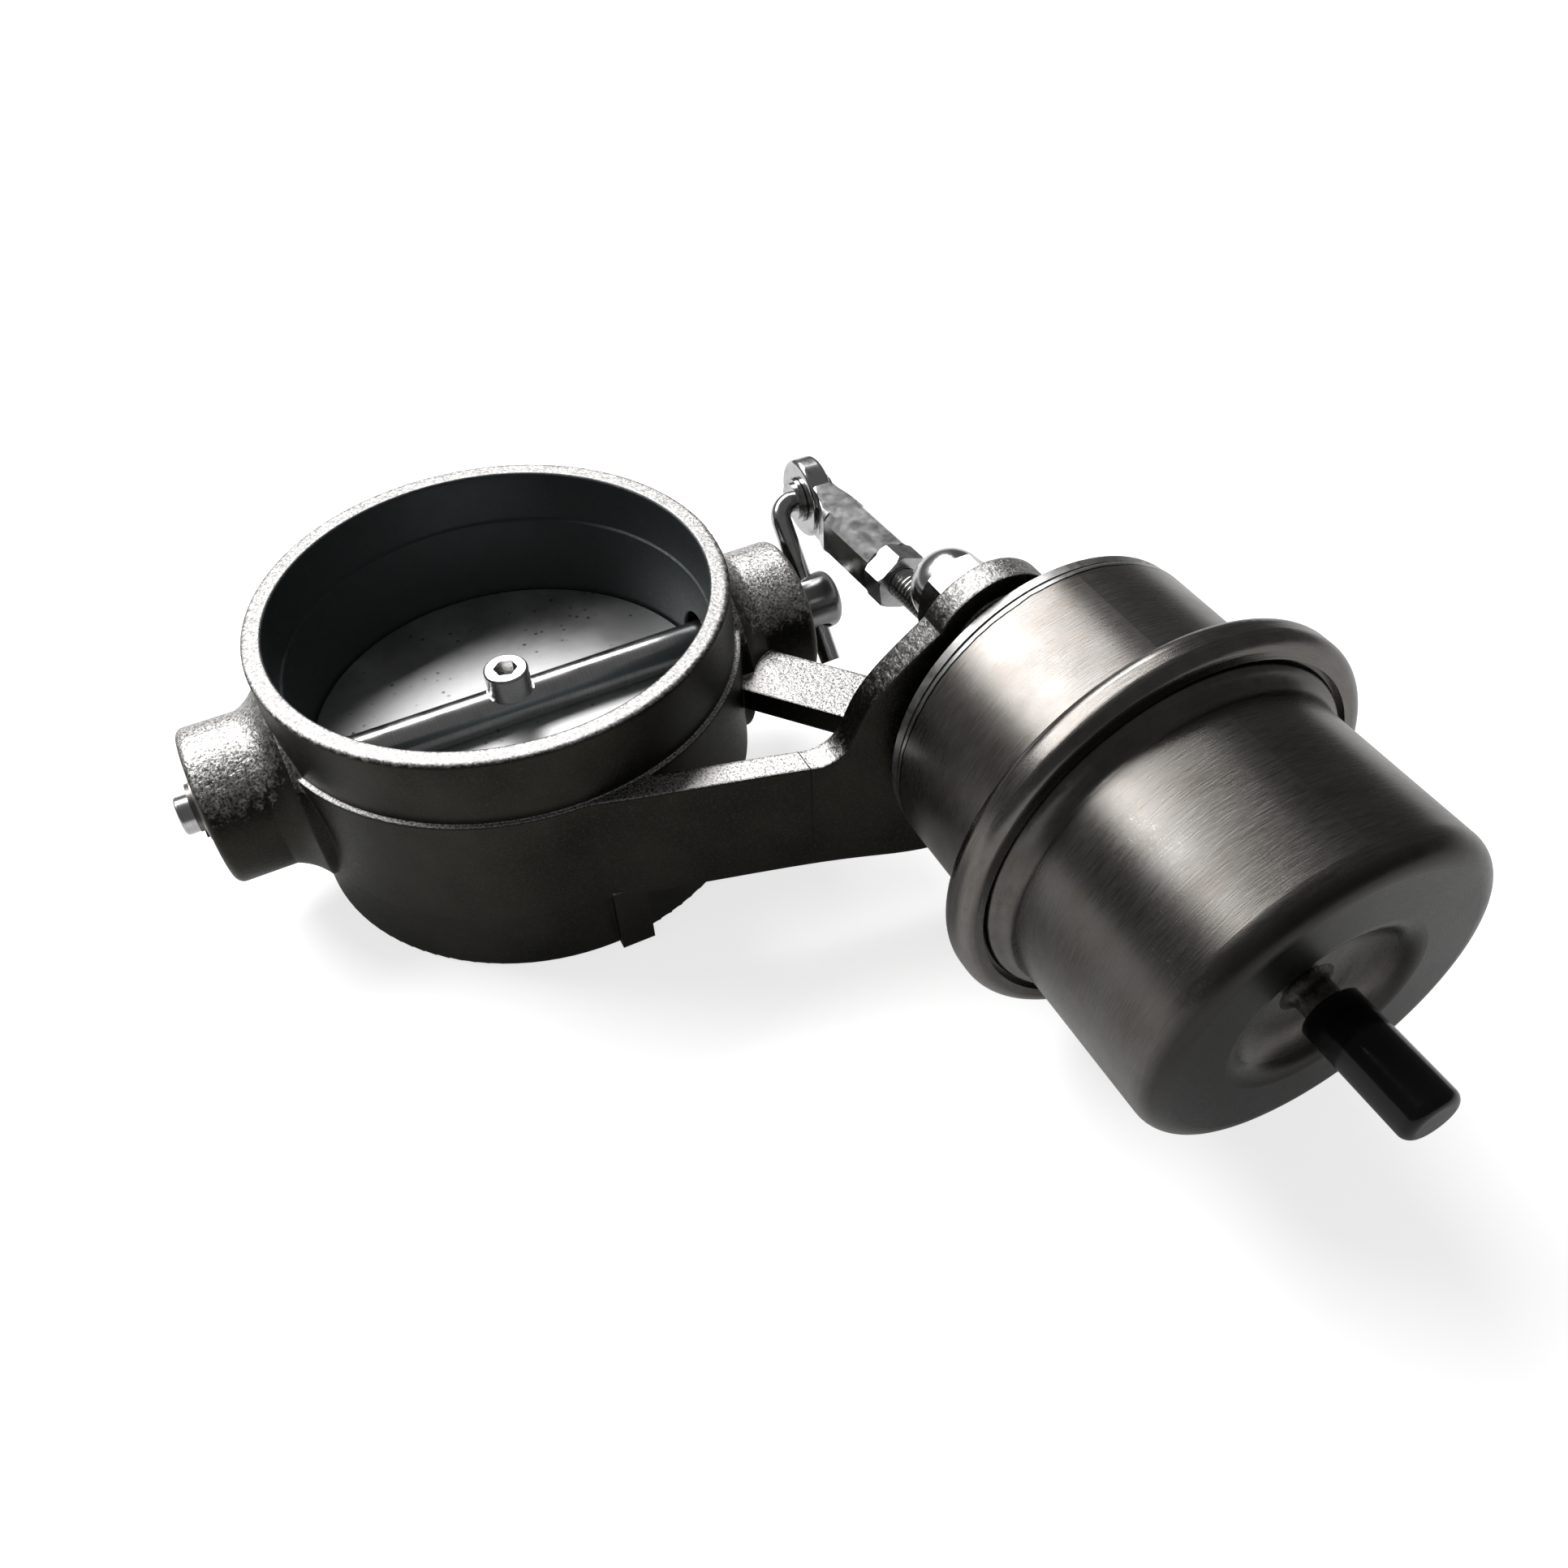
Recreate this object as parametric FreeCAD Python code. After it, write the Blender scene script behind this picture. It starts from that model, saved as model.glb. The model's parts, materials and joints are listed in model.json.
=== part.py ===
"""Exhaust cutout valve: a butterfly disc in a cast housing, worked by a vacuum actuator.

Millimetres. Z runs along the bore, Y along the disc's shaft towards the lever, X towards the
actuator's port. The pieces are built round the point where the shaft's axis crosses the bore's
axis, then raised so that the origin is the centre of the lower mouth. The disc is shut.
"""
import FreeCAD
import Part
import math
import os

V = FreeCAD.Vector
X_AXIS = V(1, 0, 0)
Y_AXIS = V(0, 1, 0)
Z_AXIS = V(0, 0, 1)

# Housing
SPIGOT_R = 42.0            # outside of both pipe spigots
MOUTH_R = 38.5             # socket that takes a 76 mm pipe
SOCKET_DEPTH = 10.0
SEAT_R = 38.0              # bore that the disc closes
BAND_R = 43.0              # middle band
HOUSING_TOP = 24.3
HOUSING_BOTTOM = -25.5
BAND_TOP = 11.5
BAND_BOTTOM = -11.5
BOSS_R = 14.3
BOSS_END = 57.0            # both boss faces, from the bore's axis
BOSS_ROUND = 1.6
RIM_ROUND = 0.7            # outer edge of both rims
MOUTH_ROUND = 0.4
BOSS_FLARE = 4.0           # root fillet between boss and band
WALL_T = 4.8               # bracket wall and mounting plate

# Shaft, disc and bushes
SHAFT_R = 4.0
SHAFT_CLEAR = 0.05
BUSH_R = 6.0
BUSH_INNER_END = 43.5
BUSH_OUTER_END = 56.2
DISC_CLEAR = 0.5
DISC_TOP = -1.8            # flat on the shaft that the disc is screwed to
DISC_T = 2.0
STUB_R = 3.5
STUB_END = -61.6
HEAD_R = 5.6
HEAD_START = 57.4
HEAD_END = 67.0
HEAD_ROUND = 1.6
SCREW_R = 2.5
SCREW_HEAD_R = 4.1
SCREW_HEAD_H = 5.0
SCREW_SEAT = 3.6
SCREW_SOCKET_AF = 4.0
SCREW_SOCKET_DEPTH = 2.8
NUT_M5_AF = 8.0
NUT_M5_H = 4.0

# Lever and its pin
LEVER_Y = 62.2             # middle of the cross hole in the shaft's head
WIRE_R = 2.0
WIRE_BEND = 3.2
TAIL = 12.0                # wire below the shaft
EYE_Y = 69.4               # middle of the rod end's eye
EYE_T = 4.6
EYE_R = 7.5
PIN_END = 74.2
PIN_CLEAR = 0.06

# Actuator
ACT_Y = 74.5
ACT_Z = 14.1               # also the height of the lever's pin at rest
FRONT = 61.0               # front face of the actuator
CLAMP = 90.4               # plane where the diaphragm is clamped
REAR = 129.5
CAN_R = 28.9
SHEET = 1.2
CRIMP_R = 35.8
STUD_Y = -9.5              # first stud from the actuator's axis; the other is opposite
STUD_Z = 17.6
STUD_R = 4.0
LOBE_R = 11.2
PAD_H = 1.4
SPOT_FACE_R = 8.0          # clears the nuts at the wall
NUT_M8_AF = 13.0
NUT_M8_HEX = 6.6
NUT_M8_H = 14.5
LOCK_T = 1.6
DIMPLE_R = 16.4
DIMPLE_DEPTH = 4.0
NIPPLE_R = 3.0
NIPPLE_END = 142.0
CAP_R = 4.6
CAP_START = 129.9
CAP_END = 149.5
CAP_FIT = 0.3

# Rod, piston, diaphragm and spring
ROD_R = 3.0
ROD_HEAD_R = 5.5
NUT_M6_AF = 10.0
NUT_M6_START = 28.6        # from the pin, along the rod
NUT_M6_H = 5.2
SHANK = 9.0                # rod end's square shank
ROD_GAP = 0.9              # the diaphragm lets the real rod swing here
PISTON_R = 21.4
PISTON_T = 1.5
PISTON_SKIRT = 11.0
RUBBER_T = 0.8
HUB_R = 6.0
SPRING_R = 18.8
SPRING_WIRE = 1.1
SPRING_TURNS = 6.5

# Derived
DISC_R = SEAT_R - DISC_CLEAR
PLATE_REAR = FRONT - PAD_H
PLATE_FRONT = PLATE_REAR - WALL_T
PIN_X = -ACT_Z             # the lever leans 45 degrees back when the disc is shut
FRONT_T = 1.5
FRONT_IN = FRONT + FRONT_T
STUD_HEAD_T = 1.8
ROD_HEAD_X = FRONT_IN + 0.8
ROD_HEAD_T = 1.5
RETAINER_X = ROD_HEAD_X + ROD_HEAD_T + ROD_GAP
RETAINER_T = 1.0
RUBBER_X = RETAINER_X + RETAINER_T
PISTON_X = RUBBER_X + RUBBER_T
BEAD_T = 1.5
REAR_FLANGE = CLAMP + BEAD_T
FLANGE_R = CRIMP_R - 1.1
CAN_IN = CAN_R - SHEET
ROD_LEAN = math.atan2(ACT_Y - EYE_Y, ROD_HEAD_X - PIN_X)
PIN = V(PIN_X, EYE_Y, ACT_Z)
ROD_DIR = V(math.cos(ROD_LEAN), math.sin(ROD_LEAN), 0)
ROD_RISE = ACT_Z * (math.sqrt(2) - 1)
STUDS = [(ACT_Y + STUD_Y, ACT_Z + STUD_Z), (ACT_Y - STUD_Y, ACT_Z - STUD_Z)]


def cyl(radius, start, axis, length):
    """A cylinder from a start point along an axis."""
    return Part.makeCylinder(radius, length, start, axis)


def cyl_x(radius, x0, x1, y=ACT_Y, z=ACT_Z):
    return cyl(radius, V(x0, y, z), X_AXIS, x1 - x0)


def cyl_y(radius, y0, y1, x=0, z=0):
    return cyl(radius, V(x, y0, z), Y_AXIS, y1 - y0)


def cyl_z(radius, z0, z1, x=0, y=0):
    return cyl(radius, V(x, y, z0), Z_AXIS, z1 - z0)


def box(x0, x1, y0, y1, z0, z1):
    return Part.makeBox(x1 - x0, y1 - y0, z1 - z0, V(x0, y0, z0))


def wire_from(points):
    """A closed wire; a point marked as a triple (mid, end) is the end of an arc through mid."""
    edges = []
    last = points[0]
    for item in points[1:] + [points[0]]:
        if isinstance(item, tuple):
            edges.append(Part.Arc(last, item[0], item[1]).toShape())
            last = item[1]
        else:
            if item.distanceToPoint(last) > 1e-6:
                edges.append(Part.makeLine(last, item))
            last = item
    return Part.Wire(edges)


def turn_x(profile):
    """A solid turned about the actuator's axis from (x, radius) points and arcs."""
    points = []
    for item in profile:
        if len(item) == 4:
            mid = V(item[0], ACT_Y, ACT_Z + item[1])
            points.append((mid, V(item[2], ACT_Y, ACT_Z + item[3])))
        else:
            points.append(V(item[0], ACT_Y, ACT_Z + item[1]))
    face = Part.Face(wire_from(points))
    return face.revolve(V(0, ACT_Y, ACT_Z), X_AXIS, 360)


def hexagon(across_flats, start, axis, height, turn=0):
    """A hexagonal prism along an axis."""
    radius = across_flats / math.sqrt(3)
    points = []
    for i in range(7):
        angle = math.radians(60 * i + turn)
        points.append(V(radius * math.cos(angle), radius * math.sin(angle), 0))
    prism = Part.Face(Part.makePolygon(points)).extrude(V(0, 0, height))
    prism.Placement = FreeCAD.Placement(start, FreeCAD.Rotation(Z_AXIS, axis))
    return prism


def fuse(shapes):
    result = shapes[0].multiFuse(shapes[1:])
    return result.removeSplitter()


def save(name, shape):
    """Write one node, checked to be valid and made of solids only, raised onto z = 0."""
    solids = shape.Solids
    if not solids or not shape.isValid():
        raise ValueError("bad solid: " + name)
    result = solids[0] if len(solids) == 1 else Part.makeCompound(solids)
    result.translate(V(0, 0, -HOUSING_BOTTOM))
    result.exportStep("parts/" + name + ".step")


def wall_edge(offset):
    """The bracket wall's outer line seen from above, or its inner line at an offset."""
    seen = [(0.0, 0.0), (17.0, 4.8), (31.0, 8.5), (43.0, 12.2), (52.0, 15.3), (60.0, 16.6)]
    depth = (PLATE_REAR - BAND_R) / 16.6
    points = [V(BAND_R + depth * x - offset, y, 0) for y, x in seen]
    curve = Part.BSplineCurve()
    curve.interpolate(points)
    return curve, points


def plate_outline():
    """The bracket and plate seen along X, as one prism that trims them."""
    y1, z1 = STUDS[0]
    y2, z2 = STUDS[1]
    length = math.hypot(y2 - y1, z2 - z1)
    side = V(0, -(z2 - z1) / length * LOBE_R, (y2 - y1) / length * LOBE_R)
    a = V(40, y1, z1)
    b = V(40, y2, z2)
    waist = Part.Face(Part.makePolygon([a + side, b + side, b - side, a - side, a + side]))
    lobes = [cyl_x(LOBE_R, 40, 65, y1, z1), cyl_x(LOBE_R, 40, 65, y2, z2)]
    rise = [(37.0, BAND_TOP), (41.0, 14.2), (43.8, 21.0), (46.6, 26.4), (51.4, 32.6)]
    rise.append((y1 - LOBE_R * 0.92, z1 + LOBE_R * 0.39))
    curve = Part.BSplineCurve()
    curve.interpolate([V(40, y, z) for y, z in rise])
    shoulder = [V(40, rise[-1][0], rise[-1][1]), a, b, V(40, 70, BAND_BOTTOM)]
    shoulder += [V(40, rise[0][0], BAND_BOTTOM), V(40, rise[0][0], BAND_TOP)]
    edges = [curve.toShape()]
    for p, q in zip(shoulder[:-1], shoulder[1:]):
        edges.append(Part.makeLine(p, q))
    rising = Part.Face(Part.Wire(edges)).extrude(V(25, 0, 0))
    strip = box(40, 65, -6, 70, BAND_BOTTOM, BAND_TOP)
    return fuse([strip, rising, waist.extrude(V(25, 0, 0))] + lobes)


def bracket():
    """Curved wall, mounting plate, stud pads and the straight bar that braces them."""
    outer, p = wall_edge(0.0)
    inner, q = wall_edge(WALL_T)
    ends = [Part.makeLine(p[-1], q[-1]), Part.makeLine(q[0], p[0])]
    plan = Part.Face(Part.Wire([outer.toShape(), ends[0], inner.toShape(), ends[1]]))
    wall = plan.extrude(V(0, 0, 90))
    wall.translate(V(0, 0, -30))
    plate = box(PLATE_FRONT, PLATE_REAR, 60, ACT_Y + 40, -40, 70)
    body = wall.fuse(plate).common(plate_outline())
    pads = [cyl_x(8.0, PLATE_REAR - 1, FRONT, y, z) for y, z in STUDS]
    heading = math.atan2(0.631, 0.776)
    length = (PLATE_FRONT + 2 - 15.5) / math.cos(heading)
    bar = box(0, length, -6, 6, -0.5, 4.0)
    bar.rotate(V(0, 0, 0), Z_AXIS, math.degrees(heading))
    bar.translate(V(15.5, 40.6, 0))
    bar = bar.common(box(0, PLATE_FRONT + 1, 0, 90, -1, 5))
    return body, pads, bar


def body_of_revolution():
    """Band and spigots with rounded rims, still solid inside."""
    r = SPIGOT_R
    c = RIM_ROUND
    k = 0.29 * c
    profile = [
        V(0, 0, HOUSING_BOTTOM), V(r - c, 0, HOUSING_BOTTOM),
        (V(r - k, 0, HOUSING_BOTTOM + k), V(r, 0, HOUSING_BOTTOM + c)), V(r, 0, BAND_BOTTOM),
        V(BAND_R, 0, BAND_BOTTOM), V(BAND_R, 0, BAND_TOP), V(r, 0, BAND_TOP),
        V(r, 0, HOUSING_TOP - c), (V(r - k, 0, HOUSING_TOP - k), V(r - c, 0, HOUSING_TOP)),
        V(0, 0, HOUSING_TOP),
    ]
    return Part.Face(wire_from(profile)).revolve(V(0, 0, 0), Z_AXIS, 360)


def mouth_cutter(z_rim, way):
    """Socket bore with a small rounded lead-in at the rim; way is +1 at the top."""
    inner = z_rim - way * SOCKET_DEPTH
    wide = MOUTH_R + MOUTH_ROUND
    mid = V(MOUTH_R + 0.29 * MOUTH_ROUND, 0, z_rim - way * 0.29 * MOUTH_ROUND)
    profile = [V(0, 0, inner), V(MOUTH_R, 0, inner), V(MOUTH_R, 0, z_rim - way * MOUTH_ROUND)]
    profile += [(mid, V(wide, 0, z_rim)), V(wide, 0, z_rim + way), V(0, 0, z_rim + way)]
    return Part.Face(wire_from(profile)).revolve(V(0, 0, 0), Z_AXIS, 360)


def make_housing():
    parts = [body_of_revolution()]
    for side in (-1, 1):
        end = BOSS_END
        root = BAND_R - 1.6
        flare = BOSS_FLARE
        profile = [
            V(0, 30, 0), V(BOSS_R + flare, 30, 0), V(BOSS_R + flare, root, 0),
            (V(BOSS_R + 0.29 * flare, root + 0.71 * flare - 0.1, 0), V(BOSS_R, root + flare + 1, 0)),
            V(BOSS_R, end - BOSS_ROUND, 0),
            (V(BOSS_R - 0.29 * BOSS_ROUND, end - 0.29 * BOSS_ROUND, 0), V(BOSS_R - BOSS_ROUND, end, 0)),
            V(0, end, 0),
        ]
        boss = Part.Face(wire_from(profile)).revolve(V(0, 0, 0), Y_AXIS, 360)
        if side < 0:
            boss = boss.mirror(V(0, 0, 0), Y_AXIS)
        parts.append(boss)
    body, pads, bar = bracket()
    gate = box(BAND_R - 3, BAND_R + 0.9, 1.0, 7.2, HOUSING_BOTTOM + 0.4, BAND_BOTTOM + 1)
    shape = fuse(parts + [body, bar, gate] + pads)
    cuts = [cyl_z(SEAT_R, HOUSING_BOTTOM - 1, HOUSING_TOP + 1)]
    cuts += [mouth_cutter(HOUSING_TOP, 1), mouth_cutter(HOUSING_BOTTOM, -1)]
    cuts.append(cyl_y(BUSH_R, -BOSS_END - 1, BOSS_END + 1))
    cuts.append(cyl_x(9.0, PLATE_FRONT - 1, FRONT + 1, ACT_Y - 1.2, ACT_Z + ROD_RISE / 2))
    for y, z in STUDS:
        cuts.append(cyl_x(STUD_R + 0.2, PLATE_FRONT - 1, FRONT + 1, y, z))
        cuts.append(cyl_x(SPOT_FACE_R, PLATE_FRONT - NUT_M8_H, PLATE_FRONT, y, z))
    for cut in cuts:
        shape = shape.cut(cut)
    return shape


def make_bush(side):
    y0 = min(side * BUSH_INNER_END, side * BUSH_OUTER_END)
    y1 = max(side * BUSH_INNER_END, side * BUSH_OUTER_END)
    return cyl_y(BUSH_R, y0, y1).cut(cyl_y(SHAFT_R + SHAFT_CLEAR, y0 - 1, y1 + 1))


def lever_dir():
    return V(-1, 0, 1).normalize()


def make_shaft():
    body = cyl_y(SHAFT_R, -BOSS_END, HEAD_START)
    stub = cyl_y(STUB_R, STUB_END, -BOSS_END + 1)
    stub = stub.makeFillet(0.5, [e for e in stub.Edges if abs(e.CenterOfMass.y - STUB_END) < 0.01 and len(e.Vertexes) == 1])
    head = cyl_y(HEAD_R, HEAD_START, HEAD_END)
    far = [e for e in head.Edges if abs(e.CenterOfMass.y - HEAD_END) < 0.01 and len(e.Vertexes) == 1]
    head = head.makeFillet(HEAD_ROUND, far)
    shape = fuse([body, stub, head])
    flat = SEAT_R - 0.3
    shape = shape.cut(box(-6, 6, -flat, flat, -6, DISC_TOP))
    shape = shape.cut(cyl_z(SCREW_HEAD_R + 0.3, SCREW_SEAT, SHAFT_R + 1))
    shape = shape.cut(cyl_z(SCREW_R + 0.1, -6, 6))
    groove = cyl_y(STUB_R + 1, -BOSS_END - 1.95, -BOSS_END - 1.05)
    groove = groove.cut(cyl_y(STUB_R - 0.5, -BOSS_END - 3, -BOSS_END))
    shape = shape.cut(groove)
    along = lever_dir()
    centre = V(0, LEVER_Y, 0)
    shape = shape.cut(cyl(WIRE_R, centre - along * 9, along, 18))
    for way in (-1, 1):
        shape = shape.cut(cyl(WIRE_R + 0.8, centre + along * (way * 4.6), along * way, 4))
    return shape


def make_disc():
    disc = cyl_z(DISC_R, DISC_TOP - DISC_T, DISC_TOP)
    return disc.cut(cyl_z(SCREW_R + 0.1, DISC_TOP - DISC_T - 1, DISC_TOP + 1))


def make_disc_screw():
    top = SCREW_SEAT + SCREW_HEAD_H
    end = DISC_TOP - DISC_T - NUT_M5_H - 1.0
    head = cyl_z(SCREW_HEAD_R, SCREW_SEAT, top)
    rim = [e for e in head.Edges if abs(e.CenterOfMass.z - top) < 0.01 and len(e.Vertexes) == 1]
    head = head.makeFillet(0.5, rim)
    shape = fuse([head, cyl_z(SCREW_R, end, SCREW_SEAT + 1)])
    socket = hexagon(SCREW_SOCKET_AF, V(0, 0, top - SCREW_SOCKET_DEPTH), Z_AXIS, 5, 12)
    return shape.cut(socket)


def make_screw_nut():
    top = DISC_TOP - DISC_T
    nut = hexagon(NUT_M5_AF, V(0, 0, top - NUT_M5_H), Z_AXIS, NUT_M5_H, 20)
    return nut.cut(cyl_z(SCREW_R, top - NUT_M5_H - 1, top + 1))


def make_thrust_washer():
    y = -BOSS_END - 0.1
    return cyl_y(5.8, y - 0.9, y).cut(cyl_y(STUB_R + 0.05, y - 2, y + 1))


def make_retaining_clip():
    """The E-shaped clip: a ring open on one side that grips the groove with three lands."""
    y0 = -BOSS_END - 1.9
    clip = cyl_y(5.1, y0, y0 + 0.8).cut(cyl_y(STUB_R - 0.5, y0 - 1, y0 + 2))
    clip = clip.cut(box(1.8, 8, y0 - 1, y0 + 2, -2.6, 2.6))
    for angle in (60, 180, 300):
        pocket = cyl_y(0.9, y0 - 1, y0 + 2, 3.5, 0)
        pocket.rotate(V(0, 0, 0), Y_AXIS, angle + 45)
        clip = clip.cut(pocket)
    clip.rotate(V(0, 0, 0), Y_AXIS, 35)
    return clip


def make_lever_wire():
    along = lever_dir()
    centre = V(0, LEVER_Y, 0)
    reach = ACT_Z * math.sqrt(2)
    start = centre - along * TAIL
    bend = centre + along * (reach - WIRE_BEND)
    corner = centre + along * reach
    done = corner + Y_AXIS * WIRE_BEND
    middle = done - along * WIRE_BEND
    mid = middle + (along - Y_AXIS).normalize() * WIRE_BEND
    path = [Part.makeLine(start, bend), Part.Arc(bend, mid, done).toShape()]
    path.append(Part.makeLine(done, V(PIN_X, PIN_END, ACT_Z)))
    ring = Part.Wire(Part.Circle(start, along, WIRE_R).toShape())
    return Part.Wire(path).makePipeShell([ring], True, True)


def make_pin_washer():
    """Two collars between the lever's bend and the eye."""
    eye = EYE_Y - EYE_T / 2
    outer = cyl_y(4.3, eye - 0.95, eye - 0.15, PIN_X, ACT_Z)
    inner = cyl_y(3.6, eye - 1.65, eye - 0.95, PIN_X, ACT_Z)
    return fuse([outer, inner]).cut(cyl_y(WIRE_R, eye - 4, eye + 1, PIN_X, ACT_Z))


def make_pin_clip():
    """Push-on cap that holds the eye on the pin."""
    eye = EYE_Y + EYE_T / 2
    ring = cyl_y(3.3, eye + 0.15, eye + 2.0, PIN_X, ACT_Z)
    collar = cyl_y(4.2, eye + 0.15, eye + 0.8, PIN_X, ACT_Z)
    return fuse([ring, collar]).cut(cyl_y(WIRE_R, eye - 1, eye + 5, PIN_X, ACT_Z))


def on_rod(shape):
    """Place a shape built along X from the origin onto the rod's line, starting at the pin."""
    shape.rotate(V(0, 0, 0), Z_AXIS, math.degrees(ROD_LEAN))
    shape.translate(PIN)
    return shape


def make_rod_end():
    half = SHANK / 2
    thin = EYE_T / 2
    plan = [V(4.6, -thin + 0.35, 0), V(7.5, -thin, 0), V(13.0, -half, 0), V(NUT_M6_START, -half, 0)]
    plan += [V(NUT_M6_START, half, 0), V(13.0, half, 0), V(7.5, thin, 0), V(4.6, thin - 0.35, 0)]
    prism = Part.Face(wire_from(plan)).extrude(V(0, 0, 20))
    prism.translate(V(0, 0, -10))
    side = [V(4.0, 0, -5.6), V(11.0, 0, -half), V(NUT_M6_START, 0, -half), V(NUT_M6_START, 0, half)]
    side += [V(11.0, 0, half), V(4.0, 0, 5.6)]
    slab = Part.Face(wire_from(side)).extrude(V(0, 20, 0))
    slab.translate(V(0, -10, 0))
    cut = 1.5
    corner = half - cut
    section = [V(4, -half, -corner), V(4, -corner, -half), V(4, corner, -half), V(4, half, -corner)]
    section += [V(4, half, corner), V(4, corner, half), V(4, -corner, half), V(4, -half, corner)]
    bar = Part.Face(wire_from(section)).extrude(V(30, 0, 0))
    neck = cyl(5.6, V(4, 0, 0), X_AXIS, 9)
    shank = prism.common(slab).common(bar.fuse(neck))
    shank = on_rod(shank)
    y0 = EYE_Y - EYE_T / 2
    eye = cyl_y(EYE_R, y0, y0 + EYE_T, PIN_X, ACT_Z)
    rims = [e for e in eye.Edges if len(e.Vertexes) == 1]
    eye = eye.makeFillet(0.9, rims)
    shape = fuse([eye, shank])
    shape = shape.cut(cyl_y(WIRE_R + PIN_CLEAR, y0 - 1, y0 + EYE_T + 1, PIN_X, ACT_Z))
    thread = on_rod(cyl(ROD_R, V(15, 0, 0), X_AXIS, NUT_M6_START))
    return shape.cut(thread)


def make_jam_nut():
    nut = hexagon(NUT_M6_AF, V(NUT_M6_START, 0, 0), X_AXIS, NUT_M6_H, 8)
    cone_r = NUT_M6_AF / math.sqrt(3)
    shell = cyl(cone_r + 0.01, V(NUT_M6_START, 0, 0), X_AXIS, NUT_M6_H)
    ends = [e for e in shell.Edges if len(e.Vertexes) == 1]
    nut = nut.common(shell.makeChamfer(0.5, ends))
    return on_rod(nut.cut(cyl(ROD_R, V(NUT_M6_START - 1, 0, 0), X_AXIS, NUT_M6_H + 2)))


def make_actuator_rod():
    """Threaded rod; its inner end is staked to a round head that pushes on the piston."""
    length = (ROD_HEAD_X + ROD_HEAD_T / 2 - PIN_X) / math.cos(ROD_LEAN)
    rod = on_rod(cyl(ROD_R, V(15, 0, 0), X_AXIS, length - 15))
    head = cyl_x(ROD_HEAD_R, ROD_HEAD_X, ROD_HEAD_X + ROD_HEAD_T)
    return fuse([rod, head])


def make_front_plate():
    """Disc that closes the front of the actuator, with a spigot inside the can."""
    disc = cyl_x(CAN_R - 0.3, FRONT, FRONT_IN)
    spigot = cyl_x(CAN_IN - 0.05, FRONT_IN, FRONT_IN + 2.4).cut(cyl_x(CAN_IN - 1.3, FRONT_IN, FRONT_IN + 3))
    shape = fuse([disc, spigot])
    shape = shape.cut(cyl_x(7.5, FRONT - 1, FRONT + 4, ACT_Y - 0.9, ACT_Z + ROD_RISE / 2))
    for y, z in STUDS:
        shape = shape.cut(cyl_x(STUD_R, FRONT - 1, FRONT + 4, y, z))
    return shape


def make_front_can():
    lip = 0.3
    x0 = FRONT_IN + lip
    flange = CLAMP - 1.1
    return turn_x([
        (x0, CAN_IN), (x0, CAN_R - 0.5), (x0 + 0.15, CAN_R - 0.15, x0 + 0.5, CAN_R),
        (flange, CAN_R), (flange, FLANGE_R), (CLAMP, FLANGE_R), (CLAMP, CAN_IN),
    ])


def make_crimp_ring():
    """Rolled ring that clamps the two cans and the diaphragm's edge together."""
    x0 = CLAMP - 2.2
    x1 = REAR_FLANGE + 2.4
    c = 2.2
    return turn_x([
        (x0, CAN_R), (x0, CRIMP_R - c), (x0 + 0.29 * c, CRIMP_R - 0.29 * c, x0 + c, CRIMP_R),
        (x1 - c, CRIMP_R), (x1 - 0.29 * c, CRIMP_R - 0.29 * c, x1, CRIMP_R - c),
        (x1, 32.2), (x1 - 1.2, 32.2), (x1 - 1.2, FLANGE_R), (CLAMP - 1.1, FLANGE_R),
        (CLAMP - 1.1, CAN_R),
    ])


def make_rear_can():
    x0 = REAR_FLANGE
    x1 = x0 + 1.2
    c = 4.0
    i = c - SHEET
    out = CAN_R
    dish = REAR - DIMPLE_DEPTH
    d = DIMPLE_R
    hole = NIPPLE_R
    return turn_x([
        (x0, FLANGE_R), (x1, FLANGE_R), (x1, out + 2.6), (x1 + 0.9, out + 2.4, x1 + 1.8, out + 1.5),
        (x1 + 2.8, out + 0.4, x1 + 4.6, out), (REAR - c, out),
        (REAR - 0.29 * c, out - 0.29 * c, REAR, out - c), (REAR, d),
        (REAR - 0.5, d - 1.8, REAR - 1.8, d - 3.2), (dish + 0.6, d - 5.4, dish, d - 8.4),
        (dish, hole), (dish - SHEET, hole), (dish - SHEET, d - 8.1),
        (dish - 0.5, d - 4.6, REAR - 2.7, d - 2.2), (REAR - 1.6, d - 0.9, REAR - SHEET, d + 0.7),
        (REAR - SHEET, out - c), (REAR - SHEET - 0.29 * i, CAN_IN - 0.29 * i, REAR - c, CAN_IN),
        (x0, CAN_IN),
    ])


def make_nipple():
    """Vacuum pipe with a flange inside the can and a braze fillet outside."""
    dish = REAR - DIMPLE_DEPTH
    inside = dish - SHEET
    bore = 1.9
    return turn_x([
        (inside - 2.2, bore), (inside - 2.2, NIPPLE_R), (inside - 1.2, NIPPLE_R),
        (inside - 1.2, 6.0), (inside, 6.0), (inside, NIPPLE_R), (dish, NIPPLE_R),
        (dish, NIPPLE_R + 1.5), (dish + 0.5, NIPPLE_R + 0.4, dish + 1.6, NIPPLE_R),
        (NIPPLE_END - 0.4, NIPPLE_R), (NIPPLE_END, NIPPLE_R - 0.4), (NIPPLE_END, bore),
    ])


def make_port_cap():
    r = CAP_R
    inner = NIPPLE_R + CAP_FIT
    tip = 1.6
    return turn_x([
        (CAP_START, inner), (CAP_START, r - 0.3), (CAP_START + 0.3, r), (CAP_END - tip, r),
        (CAP_END - 0.29 * tip, r - 0.29 * tip, CAP_END, r - tip), (CAP_END, 0),
        (CAP_END - 2.4, 0), (CAP_END - 2.4, inner),
    ])


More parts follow.
